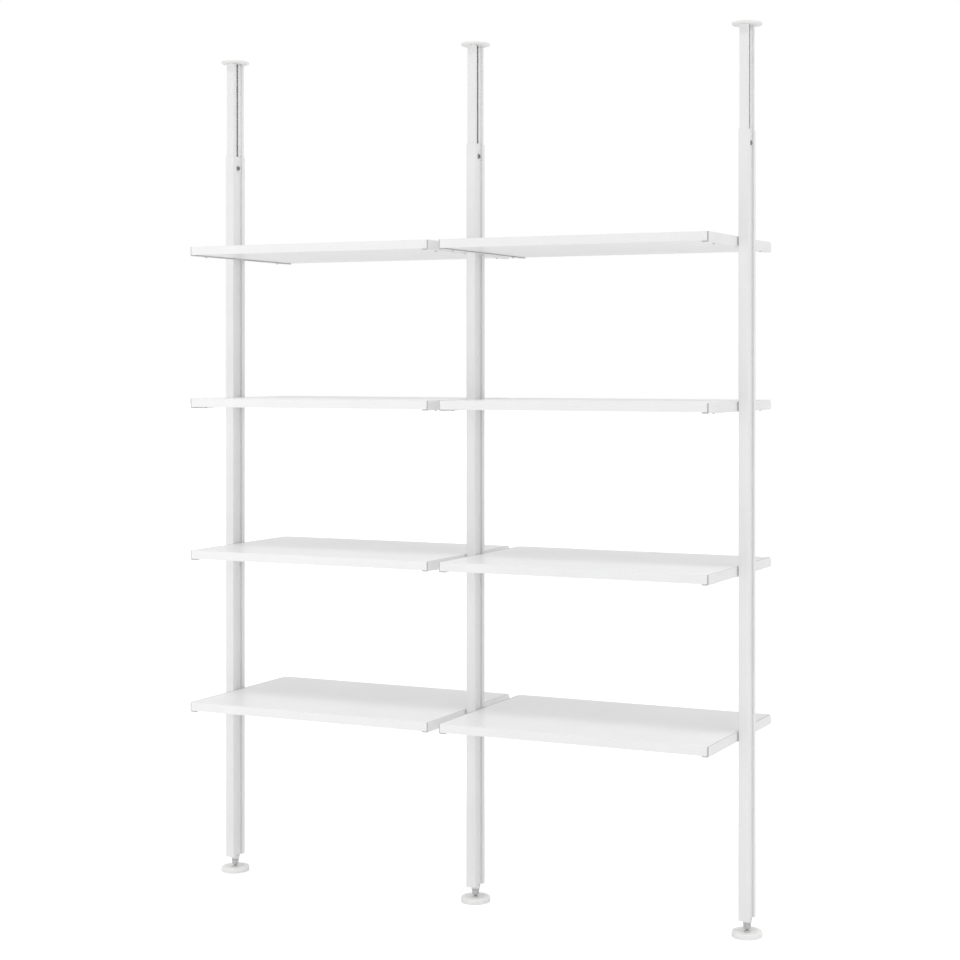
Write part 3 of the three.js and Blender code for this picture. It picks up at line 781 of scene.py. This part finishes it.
def cut_face_painted_shade(face, side, low, high):
    """Whether a face of a bracket is one of the cut edges of its sheet, which is bent to an L. These faces
    take the grey that paints the gap shade beside the board and under its front edge.
    """
    place = face.calc_center_median()
    normal = face.normal
    ends = abs(normal.y) > FACING and min(place.y - low.y, high.y - place.y) < CUT_REACH
    top = normal.z > FACING and high.z - place.z < CUT_REACH
    rear_corner = normal.y > TILTED and normal.z > TILTED and abs(normal.x) < TILTED
    inward = high.x - place.x if side == "left" else place.x - low.x
    free_edge = abs(normal.x) > FACING and inward < CUT_REACH
    return ends or top or rear_corner or free_edge


for bay in BAYS:
    for level in LEVELS:
        body = f"shelf_{bay}_{level}"
        node = f"board_{bay}_{level}"
        low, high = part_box(node)
        middle = (low + high) / 2
        half = (high - low) / 2
        plate = piece(moved(board(low, high), middle.x, middle.y, high.z), f"{node}_faced",
                      [board_face, board_band], body, "board_white", node)
        band_line = (BAND_THICKNESS + BAND_JOINT / 4) * MM
        for face in plate.data.polygons:
            off = face.center - middle
            face.material_index = int(abs(off.x) > half.x - band_line or abs(off.y) > half.y - band_line)
        for side in ("left", "right"):
            node = f"bracket_{bay}_{level}_{side}"
            angle = eased(node, BRACKET_BREAK)
            # The cut edges get the darker grey, which is painted shade for the gap beside the board and
            # under its front edge.
            for face in angle.faces:
                face.material_index = int(cut_face_painted_shade(face, side, *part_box(node)))
            piece(angle, f"{node}_coated", [bracket_coat, cut_edge_painted_shade], body, "bracket_white", node)
        left_low, left_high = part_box(f"bracket_{bay}_{level}_left")
        right_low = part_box(f"bracket_{bay}_{level}_right")[0]
        seed = bpy.data.meshes.new("screw")
        screw = board_screw()
        screw.to_mesh(seed)
        screw.free()
        screws = evaluated(seed, "NODES", node_group=board_screws, inputs={
            "Across": right_low.x - left_high.x + 2 * SCREW_INSET * MM, "Along": SCREW_SPAN * MM,
            "Place": (middle.x, 0, left_low.z), "Material": zinc})
        piece(screws, f"board_screws_{bay}_{level}", [], body, "zinc_steel")


# Studio: a white room with soft lamps, and a floor that keeps the unit's faint shadow. In metres.

ROOM_WHITE = "#FFFFFF"
FLOOR_WHITE = "#FAFAFA"
FLOOR_LIFT = 0.3  # glow that only the camera sees, which takes the lit floor to white
FLOOR_REACH = 60.0
FLOOR_DROP = 0.0003  # under the pads, so that the two don't flicker
ROOM_LIGHT = 0.51  # from all round
SIDE_LIGHTS = (  # broad lights: the direction each comes from, and its strength there
    ((0, 0, 1), 0.38),
    ((1, 0, 0), 0.55),
    ((0, -1, 0), 0.16))
KEY_LIGHT = 0.56  # of the lamp above and in front
KEY_ELEVATION = 65.0  # degrees above the horizon
KEY_SPREAD = 13.0  # degrees across
FILL_LIGHT = 15  # watts, of the softbox on the left
FILL_WIDTH = 2.0
FILL_HEIGHT = 2.4
FILL_PLACE = (-3.0, -3.5, 1.2)
FILL_TARGET = (-0.5, 0, 1.2)

world = bpy.data.worlds.new("white studio")
bpy.context.scene.world = world
world.use_nodes = True
sky = world.node_tree
sky.nodes.clear()
towards = put(sky, "ShaderNodeTexCoord").outputs["Generated"]
rays = put(sky, "ShaderNodeLightPath").outputs
seen = put(sky, "ShaderNodeMath", links={0: rays["Is Camera Ray"], 1: rays["Is Glossy Ray"]},
           operation="MAXIMUM")
seen = put(sky, "ShaderNodeMath", links={0: seen.outputs["Value"], 1: rays["Is Transmission Ray"]},
           operation="MAXIMUM")
shown = put(sky, "ShaderNodeBackground", {"Color": linear(ROOM_WHITE), "Strength": 1.0})
lit = put(sky, "ShaderNodeValue")
lit.outputs["Value"].default_value = ROOM_LIGHT
# Each side light fades with the squared cosine of the angle from its direction.
for direction, strength in SIDE_LIGHTS:
    along = put(sky, "ShaderNodeVectorMath", {1: direction}, {0: towards}, operation="DOT_PRODUCT")
    ahead = put(sky, "ShaderNodeMath", {1: 0.0}, {0: along.outputs["Value"]}, operation="MAXIMUM")
    faded = put(sky, "ShaderNodeMath", {1: 2.0}, {0: ahead.outputs["Value"]}, operation="POWER")
    lit = put(sky, "ShaderNodeMath", {1: strength}, {0: faded.outputs["Value"], 2: lit.outputs["Value"]},
              operation="MULTIPLY_ADD")
lighting = put(sky, "ShaderNodeBackground", {"Color": linear(ROOM_WHITE)},
               {"Strength": lit.outputs["Value"]})
mixed = put(sky, "ShaderNodeMixShader",
            links={0: seen.outputs["Value"], 1: lighting.outputs["Background"],
                   2: shown.outputs["Background"]})
put(sky, "ShaderNodeOutputWorld", links={"Surface": mixed.outputs["Shader"]})

floor_paint = bpy.data.materials.new("white studio floor")
floor_paint.use_nodes = True
floor_paint.cycles.emission_sampling = "NONE"  # its glow is no lamp
paint = floor_paint.node_tree
paint.nodes.clear()
floor_rays = put(paint, "ShaderNodeLightPath").outputs
matt = put(paint, "ShaderNodeBsdfDiffuse", {"Color": linear(FLOOR_WHITE)})
glow = put(paint, "ShaderNodeEmission", {"Color": linear(ROOM_WHITE), "Strength": FLOOR_LIFT})
lifted = put(paint, "ShaderNodeAddShader", links={0: matt.outputs["BSDF"], 1: glow.outputs["Emission"]})
to_eye = put(paint, "ShaderNodeMixShader",
             links={0: floor_rays["Is Camera Ray"], 1: matt.outputs["BSDF"], 2: lifted.outputs["Shader"]})
put(paint, "ShaderNodeOutputMaterial", links={"Surface": to_eye.outputs["Shader"]})

floor_mesh = bpy.data.meshes.new("floor")
floor_mesh.from_pydata(
    [(x * FLOOR_REACH, y * FLOOR_REACH, -FLOOR_DROP) for x, y in ((-1, -1), (1, -1), (1, 1), (-1, 1))],
    [], [(0, 1, 2, 3)])
floor_mesh.materials.append(floor_paint)
floor = bpy.data.objects.new("floor", floor_mesh)
bpy.context.scene.collection.objects.link(floor)

# The key lamp is far away, so that its light is even from floor to ceiling.
key = bpy.data.lights.new("overhead key", "SUN")
key.energy = KEY_LIGHT
key.angle = math.radians(KEY_SPREAD)
key_holder = bpy.data.objects.new("overhead key", key)
key_holder.rotation_euler = (math.radians(90 - KEY_ELEVATION), 0, 0)
bpy.context.scene.collection.objects.link(key_holder)

fill = bpy.data.lights.new("left front softbox", "AREA")
fill.shape = "RECTANGLE"
fill.size = FILL_WIDTH
fill.size_y = FILL_HEIGHT
fill.energy = FILL_LIGHT
fill_holder = bpy.data.objects.new("left front softbox", fill)
fill_holder.location = FILL_PLACE
aim = Vector(FILL_TARGET) - fill_holder.location
fill_holder.rotation_euler = aim.to_track_quat("-Z", "Y").to_euler()
bpy.context.scene.collection.objects.link(fill_holder)

bpy.context.scene.view_settings.view_transform = "Standard"
bpy.context.scene.cycles.use_light_tree = False  # a few broad lamps give less noise without it
